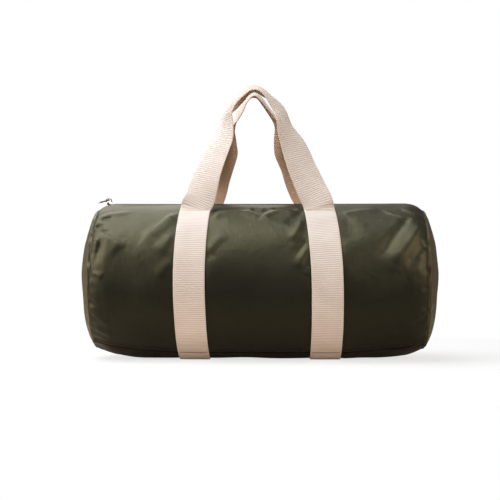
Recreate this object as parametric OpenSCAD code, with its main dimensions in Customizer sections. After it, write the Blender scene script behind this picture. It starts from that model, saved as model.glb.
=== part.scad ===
// Barrel bag: a round cloth barrel with domed ends, two webbing loops and a zip along the top.
// All lengths are millimetres. The front faces -Y, the length runs along X, the floor is at height 0.

/* [Barrel] */
// Distance between the seams of the two domed ends
seam_length = 530; // [460:5:600]
// Radius of the round barrel at its middle
barrel_radius = 130.3; // [118:0.1:142]
// Depth of each domed end beyond its seam
dome_depth = 25; // [20:1:32]
// Half the width of the flat strip that the bag rests on
flat_half_width = 45; // [35:1:52]
// Thickness of the padded cloth
cloth_thickness = 2; // [1.6:0.1:2.4]
// Angle from the top at which each bottom seam runs
bottom_seam_angle = 148; // [142:1:153]
// Width of the seam tape that binds each end seam inside
binding_width = 10; // [6:1:14]
// Share of the last cell of the barrel that the seam tape covers
binding_share = 0.55; // [0.4:0.05:0.8]

/* [Webbing] */
// Width of the webbing
web_width = 50; // [42:1:56]
// Thickness of the webbing
web_thickness = 2.2; // [1.8:0.1:2.6]
// Distance between the middles of the two straps
strap_spacing = 212; // [190:1:230]
// Angle from the top at which the straps end and the handles start
strap_end_angle = 25.2; // [24.6:0.1:27]
// Plain cloth beside each strap before the barrel starts to taper
strap_margin = 4; // [3:1:10]

/* [Handles] */
// Height of the middle of the handle loops above the lines they swing about
handle_rise = 194; // [160:1:225]
// Distance between the feet of one handle, middle to middle
handle_spacing = 200; // [180:1:216]
// Distance of each handle loop from the middle plane at its top
handle_apart = 27; // [26:0.1:32]
// Angle through which the webbing is curled where a handle is pinched
handle_curl = 70; // [40:5:90]
// Height of the swing lines above the outer face of the straps
handle_lift = 1.45; // [1.45:0.05:2]
// Distance of the cut end of a handle from its swing line
handle_start = 0.2; // [0.1:0.05:0.2]
// Distance of the swing lines from the cut ends of the straps
handle_setback = 1.2; // [1.1:0.1:2]

/* [Mouth] */
// Angle from the top at which the flaps beside the zip fold
fold_angle = 20.5; // [19:0.1:21.5]
// Distance of the side cloth from each fold line
fold_gap_side = 0.8; // [0.6:0.1:1.2]
// Distance of the flap from its fold line
fold_gap_flap = 1.6; // [1.2:0.1:2.2]
// Length of the closed part of the mouth next to each end seam
mouth_end = 24.4; // [20:0.2:34]
// Gap between the moving flaps and the closed ends of the mouth
mouth_gap = 0.6; // [0.4:0.1:1]

/* [Zip] */
// Angle from the top to the cloth edge beside the teeth
zip_slot_angle = 2.9; // [2.8:0.1:3.2]
// Angle from the top to the hidden edge of the zip tape
zip_tape_angle = 7.1; // [6:0.1:8.5]
// Thickness of the zip tape
tape_thickness = 0.8; // [0.6:0.1:1]
// Distance of the inner tape edge from the middle plane
tape_edge = 1.6; // [1.6:0.1:2]
// Distance from one tooth to the next on the same tape
tooth_pitch = 4; // [3.8:0.1:5]
// Length of one tooth along the zip
tooth_length = 1.5; // [1.1:0.1:1.5]
// Reach of a tooth across the middle plane
tooth_reach = 1.2; // [0.8:0.1:1.2]
// Distance of the outer end of a tooth from the middle plane
tooth_foot = 4.2; // [3.6:0.1:4.2]
// Height of a tooth above its tape
tooth_height = 2.6; // [2:0.1:3]
// Length of a metal stop along the zip
stop_length = 2.6; // [2:0.1:3]

/* [Slider] */
// Length of the slider body
slider_length = 12; // [11:0.5:13]
// Width of the slider plate
slider_width = 13; // [12:0.5:16]
// Thickness of the slider plate
plate_thickness = 1.5; // [1.2:0.1:2]
// Clearance between the slider and what it slides over
slide_clearance = 0.4; // [0.35:0.05:0.5]
// Thickness of the two side walls of the slider
wall_thickness = 0.8; // [0.6:0.1:0.8]
// Distance from the slider at rest to the end seam
slider_park = 13; // [11:0.5:16]
// Width of the bail across the slider
bail_width = 3; // [2.4:0.1:3.4]
// Thickness of the bail bar
bail_bar = 1.2; // [1:0.1:1.5]
// Length of the bail along the slider
bail_length = 10; // [9:0.5:11]

/* [Puller] */
// Length of the puller from its pivot bar to its tip
puller_length = 18; // [15:0.5:18]
// Width of the puller
puller_width = 7.4; // [7:0.1:9]
// Thickness of the puller
puller_thickness = 1.6; // [1.2:0.1:1.8]
// Radius of the bar that lies under the bail
pivot_radius = 0.9; // [0.8:0.05:1]
// Height of the pivot bar above the slider plate
pivot_height = 4.3; // [4.2:0.1:5]
// Angle by which the puller droops at rest
puller_droop = 15; // [10:1:15]
// Length of the slot in the puller
puller_slot = 7.5; // [7.2:0.1:9]

/* [Hidden] */

$fn = 48;

// Heights and places that follow from the sizes above
seam_half = seam_length / 2;
centre_height = web_thickness + sqrt(barrel_radius * barrel_radius - flat_half_width * flat_half_width);
top_height = centre_height + barrel_radius;
fold_y = barrel_radius * sin(fold_angle);
fold_z = centre_height + barrel_radius * cos(fold_angle);
plain_half = (strap_spacing + web_width) / 2 + strap_margin;
closed_half = seam_half - mouth_end;
flap_half = closed_half - mouth_gap;
degrees_per_mm = 180 / (PI * barrel_radius);
side_angle = fold_angle + fold_gap_side * degrees_per_mm;
flap_angle = fold_angle - fold_gap_flap * degrees_per_mm;

// Stations along the barrel between the straps and the folds: place between them and radius
taper_share = [[0, 1], [0.5, 0.986], [1, 0.958]];
// Stations over the rounded corner: place between the mouth and the seam, radius and drop of the top
corner_share = [[0.45, 0.938, 0.01], [0.8, 0.908, 0.04], [1, 0.886, 0.075]];
// Stations of a dome: depth and radius as shares of the whole
dome_share = [[0.17, 0.985], [0.4, 0.885], [0.53, 0.80], [0.67, 0.70], [0.8, 0.58], [0.9, 0.44],
    [0.97, 0.26], [1, 0.08]];
// The zip ends at this station of the dome, and its tab ends at the next one
zip_end_station = 2;

function mix(a, b, s) = a + (b - a) * s;
function mix_list(p, q, s) = [for (k = [0:len(p) - 1]) mix(p[k], q[k], s)];
function fold_centre(r) = fold_z - sqrt(r * r - fold_y * fold_y);

// A station is its place, radius, centre height, and how depth shrinks its radius and its place
taper_stations = [for (s = taper_share) let (r = s[1] * barrel_radius)
    [mix(plain_half, closed_half, s[0]), r, fold_centre(r), 1, 0]];
corner_stations = [for (s = corner_share) let (r = s[1] * barrel_radius)
    [mix(closed_half, seam_half, s[0]), r, top_height - s[2] * barrel_radius - r, 1, 0]];
right_stations = concat(taper_stations, corner_stations);
seam_station = right_stations[len(right_stations) - 1];
dome_stations = concat([seam_station], [for (s = dome_share)
    [seam_half + s[0] * dome_depth, s[1] * seam_station[1], seam_station[2], s[1], s[0]]]);
count = len(right_stations);
left_stations = [for (k = [count - 1:-1:0]) let (s = right_stations[k]) [-s[0], s[1], s[2], s[3], s[4]]];
all_stations = concat(left_stations, right_stations);

// Angles round the barrel, from the zip slot to the middle of the bottom
side_cells = 12;
flat_edge_angle = 180 - asin(flat_half_width / barrel_radius);
mouth_angles = [zip_slot_angle, zip_tape_angle, mix(zip_tape_angle, side_angle, 0.5), side_angle];
side_angles = [for (k = [0:side_cells]) mix(strap_end_angle, bottom_seam_angle, k / side_cells)];
floor_angles = [mix(bottom_seam_angle, flat_edge_angle, 0.5), flat_edge_angle,
    mix(flat_edge_angle, 180, 0.5)];
half_angles = concat(mouth_angles, side_angles, floor_angles);
half_count = len(half_angles);
ring_angles = concat(half_angles, [180], [for (k = [half_count - 1:-1:0]) 360 - half_angles[k]]);
panel_angles = concat(mouth_angles, side_angles);
base_angles = [for (a = ring_angles) if (a >= bottom_seam_angle && a <= 360 - bottom_seam_angle) a];
strap_angles = [for (a = ring_angles) if (a >= strap_end_angle && a <= 360 - strap_end_angle) a];
seam_tape_angles = [for (a = ring_angles) if (a >= zip_tape_angle && a <= 360 - zip_tape_angle) a];
slot_angles = [-zip_tape_angle, -zip_slot_angle, zip_slot_angle, zip_tape_angle];

// A point on a station, at an angle from the top towards the front and a depth below the outer face
function spot(s, a, d) = let (r = s[1] - d * s[3])
    [s[0] - d * s[4], -r * sin(a), max(s[2] + r * cos(a), web_thickness + d)];

function corners(a, b, c, d) = [[a, b, c], [a, c, d]];
function flat_list(lists) = [for (l = lists) for (item = l) item];

// A sheet of even thickness over a grid of stations and angles, with the mouth cells left out where asked
module sheet(stations, angles, depth_out, depth_in, open_mouth = false) {
    n = len(stations);
    m = len(angles);
    function at(layer, i, j) = (layer * n + i) * m + j;
    function has(i, j) = i >= 0 && j >= 0 && i < n - 1 && j < m - 1
        && (!open_mouth || angles[j] >= side_angle
            || min(abs(stations[i][0]), abs(stations[i + 1][0])) >= closed_half);
    points = [for (d = [depth_out, depth_in]) for (s = stations) for (a = angles) spot(s, a, d)];
    used = [for (i = [0:n - 2]) for (j = [0:m - 2]) if (has(i, j)) [i, j]];
    faces = flat_list([for (c = used) let (i = c[0], j = c[1]) concat(
        corners(at(0, i, j), at(0, i + 1, j), at(0, i + 1, j + 1), at(0, i, j + 1)),
        corners(at(1, i, j), at(1, i, j + 1), at(1, i + 1, j + 1), at(1, i + 1, j)),
        has(i, j - 1) ? [] : corners(at(0, i + 1, j), at(0, i, j), at(1, i, j), at(1, i + 1, j)),
        has(i, j + 1) ? [] :
            corners(at(0, i, j + 1), at(0, i + 1, j + 1), at(1, i + 1, j + 1), at(1, i, j + 1)),
        has(i - 1, j) ? [] : corners(at(0, i, j), at(0, i, j + 1), at(1, i, j + 1), at(1, i, j)),
        has(i + 1, j) ? [] :
            corners(at(0, i + 1, j + 1), at(0, i + 1, j), at(1, i + 1, j), at(1, i + 1, j + 1))
    )]);
    polyhedron(points, faces, convexity = 6);
}

// A domed end: rings from the seam to a small cap, with the zip slot left out at the top
module dome() {
    n = len(dome_stations);
    m = len(ring_angles);
    function at(layer, i, j) = (layer * n + i) * m + j % m;
    function has(i, j) = !(j == m - 1 && i < zip_end_station + 1);
    points = [for (d = [0, cloth_thickness]) for (s = dome_stations) for (a = ring_angles) spot(s, a, d)];
    used = [for (i = [0:n - 2]) for (j = [0:m - 1]) if (has(i, j)) [i, j]];
    skin = flat_list([for (c = used) let (i = c[0], j = c[1]) concat(
        corners(at(0, i, j), at(0, i + 1, j), at(0, i + 1, j + 1), at(0, i, j + 1)),
        corners(at(1, i, j), at(1, i, j + 1), at(1, i + 1, j + 1), at(1, i + 1, j)),
        has(i, (j + m - 1) % m) ? [] : corners(at(0, i + 1, j), at(0, i, j), at(1, i, j), at(1, i + 1, j)),
        has(i, (j + 1) % m) ? [] :
            corners(at(0, i, j + 1), at(0, i + 1, j + 1), at(1, i + 1, j + 1), at(1, i, j + 1)),
        i > 0 && has(i - 1, j) ? [] : corners(at(0, i, j), at(0, i, j + 1), at(1, i, j + 1), at(1, i, j))
    )]);
    cap = [[for (j = [m - 1:-1:0]) at(0, n - 1, j)], [for (j = [0:m - 1]) at(1, n - 1, j)]];
    polyhedron(points, concat(skin, cap), convexity = 6);
}

// A profile of width and height points carried along the length between two places
module along_length(from, to) {
    translate([from, 0, 0]) rotate([90, 0, 90]) linear_extrude(to - from) children();
}

// The section of the barrel at its middle as a band between two depths
function band(angles, d_out, d_in) = let (s = taper_stations[0], last = len(angles) - 1) concat(
    [for (a = angles) let (p = spot(s, a, d_out)) [p[1], p[2]]],
    [for (k = [last:-1:0]) let (p = spot(s, angles[k], d_in)) [p[1], p[2]]]);

module to_back() {
    mirror([0, 1, 0]) children();
}

module to_left() {
    mirror([1, 0, 0]) children();
}

// Cloth pieces of the barrel
module front_panel() {
    color("#5b563f") sheet(all_stations, panel_angles, 0, cloth_thickness, open_mouth = true);
}

module back_panel() {
    to_back() front_panel();
}

module bottom_panel() {
    color("#4d4936") sheet(all_stations, base_angles, 0, cloth_thickness);
}

module right_end_panel() {
    color("#66604a") dome();
}

module left_end_panel() {
    to_left() right_end_panel();
}

// The tape that binds the raw edges of an end seam inside the bag
module right_seam_tape() {
    first = mix_list(right_stations[count - 2], seam_station, 1 - binding_share);
    color("#3a3729") sheet([first, seam_station], seam_tape_angles, cloth_thickness,
        cloth_thickness + binding_width);
}

module left_seam_tape() {
    to_left() right_seam_tape();
}

// One strap: a band of webbing under the barrel from one handle to the other
module right_strap() {
    color("#d8c5b4") along_length((strap_spacing - web_width) / 2, (strap_spacing + web_width) / 2)
        polygon(band(strap_angles, -web_thickness, 0));
}

module left_strap() {
    to_left() right_strap();
}

// Zip parts that move with a flap, their sections drawn in the middle of the barrel
slot_y = (barrel_radius - cloth_thickness) * sin(zip_slot_angle);
tape_z = centre_height + (barrel_radius - cloth_thickness) * cos(zip_slot_angle);
flap_angles = [zip_slot_angle, zip_tape_angle, mix(zip_tape_angle, flap_angle, 0.5), flap_angle];

module front_flap() {
    color("#5b563f") along_length(-flap_half, flap_half) polygon(band(flap_angles, 0, cloth_thickness));
}

module front_zip_tape() {
    below = cloth_thickness + tape_thickness;
    outer = spot(taper_stations[0], zip_tape_angle, cloth_thickness);
    inner = spot(taper_stations[0], zip_tape_angle, below);
    color("#4a4632") along_length(-flap_half, flap_half) polygon([[-tape_edge, tape_z], [-slot_y, tape_z],
        [outer[1], outer[2]], [inner[1], inner[2]], [-slot_y, tape_z - tape_thickness],
        [-tape_edge, tape_z - tape_thickness]]);
}

// One tooth: a wedge that is broad where it grips its tape and narrow where it meets the other row
module tooth() {
    foot_share = 0.75;
    foot = tooth_length * foot_share;
    head = tooth_length / 2;
    linear_extrude(tooth_height) polygon([[-foot, -tooth_foot], [foot, -tooth_foot], [head, tooth_reach],
        [-head, tooth_reach]]);
}

teeth_count = floor((2 * flap_half - tooth_pitch) / tooth_pitch);

module flap_teeth(shift) {
    for (k = [0:teeth_count - 1])
        translate([(k - (teeth_count - 1) / 2 + shift) * tooth_pitch, 0, tape_z]) tooth();
}

module front_teeth() {
    color("#2f2c22") flap_teeth(-1 / 4);
}

module back_flap() {
    to_back() front_flap();
}

module back_zip_tape() {
    to_back() front_zip_tape();
}

module back_teeth() {
    color("#2f2c22") to_back() flap_teeth(1 / 4);
}

// Zip parts that stay closed: over the rounded corner and down the dome to the end of the slot
end_stations = concat([for (k = [len(taper_stations) - 1:count - 1]) right_stations[k]],
    [for (k = [1:zip_end_station + 1]) dome_stations[k]]);
chain_points = [for (s = end_stations) let (d = cloth_thickness, r = s[1] - d * s[3])
    [s[0] - d * s[4], s[2] + r * cos(zip_slot_angle)]];
runs = len(chain_points) - 1;

module right_tape_end() {
    color("#4a4632") sheet(end_stations, slot_angles, cloth_thickness, cloth_thickness + tape_thickness);
}

module left_tape_end() {
    to_left() right_tape_end();
}

// Carries a child to a share of one straight run of the chain and lays it along the run
module on_run(k, share) {
    step = chain_points[k + 1] - chain_points[k];
    place = chain_points[k] + step * share;
    translate([place[0], 0, place[1]]) rotate([0, -atan2(step[1], step[0]), 0]) children();
}

module right_teeth_end() {
    stop_share = 0.44;
    color("#2f2c22") for (k = [0:runs - 1]) {
        room = norm(chain_points[k + 1] - chain_points[k]) * (k == runs - 1 ? stop_share : 1);
        n = max(1, round(room / tooth_pitch * 2));
        for (t = [0:n - 1]) on_run(k, (t + 1 / 2) / n * (k == runs - 1 ? stop_share : 1))
            mirror([0, t % 2, 0]) tooth();
    }
}

module left_teeth_end() {
    to_left() right_teeth_end();
}

module bottom_stop() {
    place_share = 0.62;
    half_share = 0.8;
    half = tooth_foot * half_share;
    color("#b9b4a6") on_run(runs - 1, place_share) translate([-stop_length / 2, -half, 0])
        cube([stop_length, half * 2, tooth_height]);
}

module top_stop() {
    to_left() bottom_stop();
}

module right_zip_tab() {
    color("#a89673") sheet([for (k = [1:2]) dome_stations[zip_end_station + k]],
        slot_angles, -tape_thickness * 2, 0);
}

module left_zip_tab() {
    to_left() right_zip_tab();
}

// Slider: a plate with two side walls that rides over the teeth
slide_x = -(seam_half - slider_park);
chain_high = max(tape_z, chain_points[0][1]);
plate_low = chain_high + tooth_height + slide_clearance;
wall_low = chain_high + slide_clearance;
plate_top = plate_low + plate_thickness;
wall_in = tooth_foot + slide_clearance;
bar_z = plate_top + pivot_height;

module slider() {
    nose_share = 0.3;
    nose = slider_width * nose_share;
    half = slider_length / 2;
    color("#c9c6bd") translate([slide_x, 0, 0]) {
        translate([0, 0, plate_low]) linear_extrude(plate_thickness) polygon([
            [-half, -nose], [-half + nose, -slider_width / 2], [half - nose, -slider_width / 2],
            [half, -nose], [half, nose], [half - nose, slider_width / 2],
            [-half + nose, slider_width / 2], [-half, nose]]);
        for (side = [-1, 1])
            translate([-half + nose, side * (wall_in + wall_thickness / 2) - wall_thickness / 2,
                wall_low])
                cube([slider_length - 2 * nose, wall_thickness, plate_low - wall_low]);
    }
}

module slider_bail() {
    inner_top = bar_z + pivot_radius + slide_clearance;
    bend = bail_length / 4;
    color("#c9c6bd") translate([slide_x, bail_width / 2, 0]) rotate([90, 0, 0]) linear_extrude(bail_width)
        difference() {
            union() {
                translate([-bail_length / 2, plate_top])
                    square([bail_length, inner_top + bail_bar - bend - plate_top]);
                translate([-bail_length / 2 + bend, plate_top])
                    square([bail_length - 2 * bend, inner_top + bail_bar - plate_top]);
                for (side = [-1, 1])
                    translate([side * (bail_length / 2 - bend), inner_top + bail_bar - bend]) circle(bend);
            }
            translate([-bail_length / 2 + bail_bar, plate_top])
                square([bail_length - 2 * bail_bar, inner_top - plate_top]);
        }
}

// Puller: a tongue with a slot, whose end bar lies under the bail
module puller() {
    side = (puller_width - bail_width) / 2 - slide_clearance;
    bar_half = puller_width / 2;
    color("#c9c6bd") translate([slide_x, 0, bar_z]) rotate([0, -puller_droop, 0]) {
        translate([0, bar_half, 0]) rotate([90, 0, 0]) cylinder(r = pivot_radius, h = puller_width);
        translate([0, 0, -puller_thickness / 2]) linear_extrude(puller_thickness) difference() {
            union() {
                translate([-puller_length + bar_half, -bar_half])
                    square([puller_length - bar_half, puller_width]);
                translate([-puller_length + bar_half, 0]) circle(bar_half);
            }
            translate([-puller_slot, -bar_half + side])
                square([puller_slot + pivot_radius, puller_width - 2 * side]);
        }
    }
}

// Handles: a band of webbing that is flat at its feet and turns on edge towards the top
swing_angle = strap_end_angle + handle_setback * degrees_per_mm;
swing_radius = barrel_radius + web_thickness + handle_lift;
swing_y = swing_radius * sin(swing_angle);
swing_z = centre_height + swing_radius * cos(swing_angle);
foot_x = handle_spacing / 2;

// Route of the front loop: length share of the feet, height share, turn share and curl share
front_route = [[-1, 0, 0, 0], [-0.95, 0.084, 0.06, 0], [-0.9, 0.186, 0.2, 0.05],
    [-0.845, 0.287, 0.32, 0.1], [-0.766, 0.388, 0.41, 0.15], [-0.69, 0.487, 0.46, 0.2],
    [-0.606, 0.591, 0.52, 0.3], [-0.587, 0.675, 0.6, 0.45], [-0.596, 0.729, 0.7, 0.6],
    [-0.606, 0.783, 0.84, 0.7], [-0.543, 0.832, 1.01, 0.5], [-0.468, 0.874, 1.11, 0.4],
    [-0.384, 0.921, 1.13, 0.35], [-0.301, 0.961, 1.11, 0.3], [-0.222, 1.004, 1.08, 0.3],
    [-0.158, 1.028, 1.06, 0.3], [-0.085, 1.036, 1.05, 0.3], [-0.009, 1.023, 1.06, 0.35],
    [0.072, 1, 1.07, 0.45], [0.162, 0.966, 0.99, 0.6], [0.262, 0.925, 0.85, 0.8],
    [0.351, 0.873, 0.77, 0.95], [0.415, 0.816, 0.76, 1], [0.445, 0.757, 0.72, 0.85],
    [0.46, 0.699, 0.63, 0.65], [0.495, 0.628, 0.51, 0.45], [0.551, 0.55, 0.4, 0.3],
    [0.606, 0.468, 0.31, 0.2], [0.694, 0.333, 0.24, 0.1], [0.775, 0.234, 0.16, 0.05],
    [0.86, 0.132, 0.09, 0], [0.93, 0.059, 0.02, 0], [0.98, 0, 0, 0]];
back_route = [[-0.98, 0, 0, 0], [-0.9, 0.068, 0.04, 0], [-0.82, 0.174, 0.13, 0.05],
    [-0.754, 0.278, 0.33, 0.1], [-0.66, 0.39, 0.48, 0.2], [-0.522, 0.522, 0.69, 0.2],
    [-0.52, 0.581, 0.79, 0.3], [-0.518, 0.638, 0.85, 0.45], [-0.525, 0.7, 0.92, 0.5],
    [-0.481, 0.773, 0.97, 0.4], [-0.421, 0.826, 0.99, 0.3], [-0.348, 0.886, 0.99, 0.2],
    [-0.293, 0.946, 0.98, 0.15], [-0.21, 0.995, 0.98, 0.1], [-0.158, 1.015, 0.97, 0.1],
    [-0.101, 1.019, 0.96, 0.1], [-0.045, 1.012, 0.95, 0.1], [0.005, 0.985, 0.95, 0.1],
    [0.046, 0.957, 0.95, 0.15], [0.104, 0.916, 0.96, 0.2], [0.194, 0.858, 0.95, 0.3],
    [0.283, 0.794, 0.94, 0.4], [0.326, 0.746, 0.91, 0.5], [0.331, 0.689, 0.87, 0.5],
    [0.33, 0.641, 0.83, 0.4], [0.337, 0.597, 0.79, 0.3], [0.372, 0.516, 0.69, 0.2],
    [0.532, 0.391, 0.51, 0.15], [0.63, 0.276, 0.33, 0.1], [0.73, 0.172, 0.18, 0.05],
    [0.85, 0.075, 0.04, 0], [0.97, 0, 0, 0]];
curl_cells = 6;

function unit(v) = v / norm(v);

// One band of webbing along a route on the front side, closed at both ends
module handle(route) {
    n = len(route);
    lean = (swing_y - handle_apart) / handle_rise;
    foot_dir = unit([0, lean, 1]);
    way = [for (r = route) let (h = r[1] * handle_rise)
        [r[0] * foot_x, -swing_y + h * lean, swing_z + h + handle_start * foot_dir[2]]];
    function heading(k) = k == 0 ? foot_dir : k == n - 1 ? -foot_dir : unit(way[k + 1] - way[k - 1]);
    function square_to(v, t) = unit(v - (v * t) * t);
    function section(k, layer) = let (t = heading(k), turn = route[k][2] * 90,
        out = square_to([0, -1, 0], t), over = square_to([-t[2], 0, t[0]], t),
        n_dir = unit(out * cos(turn) + over * sin(turn)), w_dir = cross(n_dir, t),
        bend = max(route[k][3], 0.01) * handle_curl, radius = web_width * 180 / (PI * bend),
        depth = web_thickness / 2)
        [for (c = [0:curl_cells]) let (a = (c / curl_cells - 1 / 2) * bend,
            r = radius + (layer == 0 ? depth : -depth))
            way[k] + w_dir * (r * sin(a)) + n_dir * (r * cos(a) - radius)];
    m = curl_cells + 1;
    function at(layer, k, c) = (layer * n + k) * m + c;
    points = [for (layer = [0, 1]) for (k = [0:n - 1]) for (p = section(k, layer)) p];
    skins = flat_list([for (k = [0:n - 2]) for (c = [0:m - 2]) concat(
        corners(at(0, k, c), at(0, k, c + 1), at(0, k + 1, c + 1), at(0, k + 1, c)),
        corners(at(1, k, c), at(1, k + 1, c), at(1, k + 1, c + 1), at(1, k, c + 1)))]);
    edges = flat_list([for (k = [0:n - 2]) concat(
        corners(at(0, k, 0), at(0, k + 1, 0), at(1, k + 1, 0), at(1, k, 0)),
        corners(at(0, k, m - 1), at(1, k, m - 1), at(1, k + 1, m - 1), at(0, k + 1, m - 1)))]);
    feet = flat_list([for (c = [0:m - 2]) concat(
        corners(at(0, 0, c), at(1, 0, c), at(1, 0, c + 1), at(0, 0, c + 1)),
        corners(at(0, n - 1, c), at(0, n - 1, c + 1), at(1, n - 1, c + 1), at(1, n - 1, c)))]);
    polyhedron(points, concat(skins, edges, feet), convexity = 6);
}

module front_handle() {
    color("#e6d6c6") handle(front_route);
}

module back_handle() {
    color("#e6d6c6") to_back() handle(back_route);
}

front_panel();
back_panel();
bottom_panel();
left_end_panel();
right_end_panel();
left_seam_tape();
right_seam_tape();
left_strap();
right_strap();
left_tape_end();
right_tape_end();
left_teeth_end();
right_teeth_end();
top_stop();
bottom_stop();
left_zip_tab();
right_zip_tab();
front_flap();
front_zip_tape();
front_teeth();
back_flap();
back_zip_tape();
back_teeth();
slider();
slider_bail();
puller();
front_handle();
back_handle();
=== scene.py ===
"""Barrel bag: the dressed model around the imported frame. Shapes are worked out in millimetres."""

import math

import bmesh
import bpy
import numpy as np
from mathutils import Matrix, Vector


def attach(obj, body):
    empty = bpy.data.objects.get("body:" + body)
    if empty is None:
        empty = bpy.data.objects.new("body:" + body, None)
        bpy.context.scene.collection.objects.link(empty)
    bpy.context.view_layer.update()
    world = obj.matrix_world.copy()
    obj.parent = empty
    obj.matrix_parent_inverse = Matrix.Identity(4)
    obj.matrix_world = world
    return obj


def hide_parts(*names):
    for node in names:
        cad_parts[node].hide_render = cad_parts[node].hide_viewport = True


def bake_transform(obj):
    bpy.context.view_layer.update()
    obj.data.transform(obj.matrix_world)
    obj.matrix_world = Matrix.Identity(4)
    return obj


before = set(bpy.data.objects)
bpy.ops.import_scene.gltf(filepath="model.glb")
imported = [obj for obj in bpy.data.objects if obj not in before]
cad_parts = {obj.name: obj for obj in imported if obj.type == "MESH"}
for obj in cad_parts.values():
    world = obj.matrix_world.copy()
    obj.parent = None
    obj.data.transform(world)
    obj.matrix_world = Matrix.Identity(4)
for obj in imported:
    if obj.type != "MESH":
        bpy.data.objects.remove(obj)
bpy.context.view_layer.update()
MM = 0.001

# Sizes of the barrel, as in the CAD source. Each "half" is a distance from the bag's middle along it.
SEAM_HALF = 265.0
CLOSED_HALF = 240.6
PLAIN_HALF = 135.0
STRAP_X = 106.0
BARREL_RADIUS = 130.3
DOME_DEPTH = 25.0
FLAT_HALF = 45.0
CLOTH = 2.0
WEB = 2.2
WEB_WIDTH = 50.0
HANDLE_RISE = 194.0

# Sizes that only the dressed model has
STITCH_PITCH = 3.2
BAND_WIDTH = 47.8
BAND_CELLS = 16
FLOOR_EASE = 1.2
DRAWN_CLOTH = 1.1
BINDING_WIDTH = 9.0
BINDING_THICKNESS = 1.6
TAPE_START = 1.4
TAPE_REACH = 17.5
DRAWN_TAPE = 0.7
TAB_HALF = 8.5

# A place inside each end that its cloth faces away from
DOME_INSIDE = 230.0

# Lines along the barrel, as angles from its top
SLOT_ANGLE = math.radians(2.9)
TAPE_ANGLE = math.radians(7.1)
FOLD_ANGLE = math.radians(20.5)
STITCH_ANGLE = math.radians(25.2)
STRAP_END = math.radians(26.6)
SEAM_DEGREES = 148.0
SEAM_ANGLE = math.radians(SEAM_DEGREES)

CENTRE = WEB + math.sqrt(BARREL_RADIUS**2 - FLAT_HALF**2)
TOP = CENTRE + BARREL_RADIUS
FOLD_Y = BARREL_RADIUS * math.sin(FOLD_ANGLE)
FOLD_Z = CENTRE + BARREL_RADIUS * math.cos(FOLD_ANGLE)


def fold_centre(radius):
    """Centre height of a section of this radius that passes through the fold line of the mouth."""
    return FOLD_Z - np.sqrt(radius**2 - FOLD_Y**2)


def station_table():
    """Place, radius and centre height of the barrel's sections from the middle to the end seam."""
    places, radii, centres = [0.0], [BARREL_RADIUS], [CENTRE]
    for share, size in ((0, 1), (0.5, 0.986), (1, 0.958)):
        radius = size * BARREL_RADIUS
        places.append(PLAIN_HALF + (CLOSED_HALF - PLAIN_HALF) * share)
        radii.append(radius)
        centres.append(fold_centre(radius))
    for share, size, drop in ((0.45, 0.938, 0.01), (0.8, 0.908, 0.04), (1, 0.886, 0.075)):
        radius = size * BARREL_RADIUS
        places.append(CLOSED_HALF + (SEAM_HALF - CLOSED_HALF) * share)
        radii.append(radius)
        centres.append(TOP - drop * BARREL_RADIUS - radius)
    return np.array(places), np.array(radii), np.array(centres)


PLACES, RADII, CENTRES = station_table()
END_RADIUS, END_CENTRE = RADII[-1], CENTRES[-1]

# The domes' outline as shares of their depth and of their radius, and the length along it
DOME_IN = np.array([0, 0.17, 0.4, 0.53, 0.67, 0.8, 0.9, 0.97, 1.0])
DOME_OUT = np.array([1, 0.985, 0.885, 0.80, 0.70, 0.58, 0.44, 0.26, 0.0])
DOME_STEPS = np.hypot(np.diff(DOME_IN) * DOME_DEPTH, np.diff(DOME_OUT) * END_RADIUS)
DOME_LENGTH = DOME_STEPS.sum()

# Where the zip's slot and its tab end on the dome, as shares of that length
SLOT_END = DOME_STEPS[:3].sum() / DOME_LENGTH
TAB_END = DOME_STEPS[:4].sum() / DOME_LENGTH


def section(x):
    """Radius and centre height of the barrel at places x, with the table's corners eased."""
    x = np.abs(np.asarray(x, float))
    offsets = np.linspace(-5, 5, 9)
    spread = np.clip(x[..., None] + offsets * np.clip((SEAM_HALF - x[..., None]) / 6, 0, 1), 0, SEAM_HALF)
    weight = np.hanning(11)[1:-1]
    weight = weight / weight.sum()
    radius = (np.interp(spread, PLACES, RADII) * weight).sum(-1)
    centre = (np.interp(spread, PLACES, CENTRES) * weight).sum(-1)
    return radius, centre


def barrel(x, angle, lift=0.0):
    """Points on the barrel at places x and angles from the top towards the front, raised by lift."""
    x, angle, lift = np.broadcast_arrays(*(np.asarray(v, float) for v in (x, angle, lift)))
    radius, centre = section(x)
    y = -(radius + lift) * np.sin(angle)
    z = centre + (radius + lift) * np.cos(angle)
    floor = WEB - lift
    z = floor + np.logaddexp(0, (z - floor) / FLOOR_EASE) * FLOOR_EASE
    return np.stack([x, y, z], -1)


def dome(side, share, angle, lift=0.0):
    """Points on a domed end: share runs from 0 at the seam to 1 at the middle of the dome."""
    share, angle, lift = np.broadcast_arrays(*(np.asarray(v, float) for v in (share, angle, lift)))
    length = np.concatenate([[0], np.cumsum(DOME_STEPS)])
    length = length / length[-1]
    depth = np.interp(share, length, DOME_IN)
    reach = np.interp(share, length, DOME_OUT)
    radius = (END_RADIUS + lift) * reach
    x = side * (SEAM_HALF + depth * (DOME_DEPTH + lift))
    return np.stack([x, -radius * np.sin(angle), END_CENTRE + radius * np.cos(angle)], -1)


def link(mesh, name):
    """An object of this mesh, put into the scene."""
    obj = bpy.data.objects.new(name, mesh)
    bpy.context.scene.collection.objects.link(obj)
    return obj


def grid_mesh(name, points, uv):
    """A mesh over a grid of points (rows, columns, 3) in millimetres, with UVs."""
    rows, columns = points.shape[:2]
    index = np.arange(rows * columns).reshape(rows, columns)
    quads = np.stack([index[:-1, :-1], index[1:, :-1], index[1:, 1:], index[:-1, 1:]], -1).reshape(-1, 4)
    corners = np.stack([uv[:-1, :-1], uv[1:, :-1], uv[1:, 1:], uv[:-1, 1:]], -2).reshape(-1, 2)
    return face_mesh(name, points.reshape(-1, 3), quads, corners)


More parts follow.
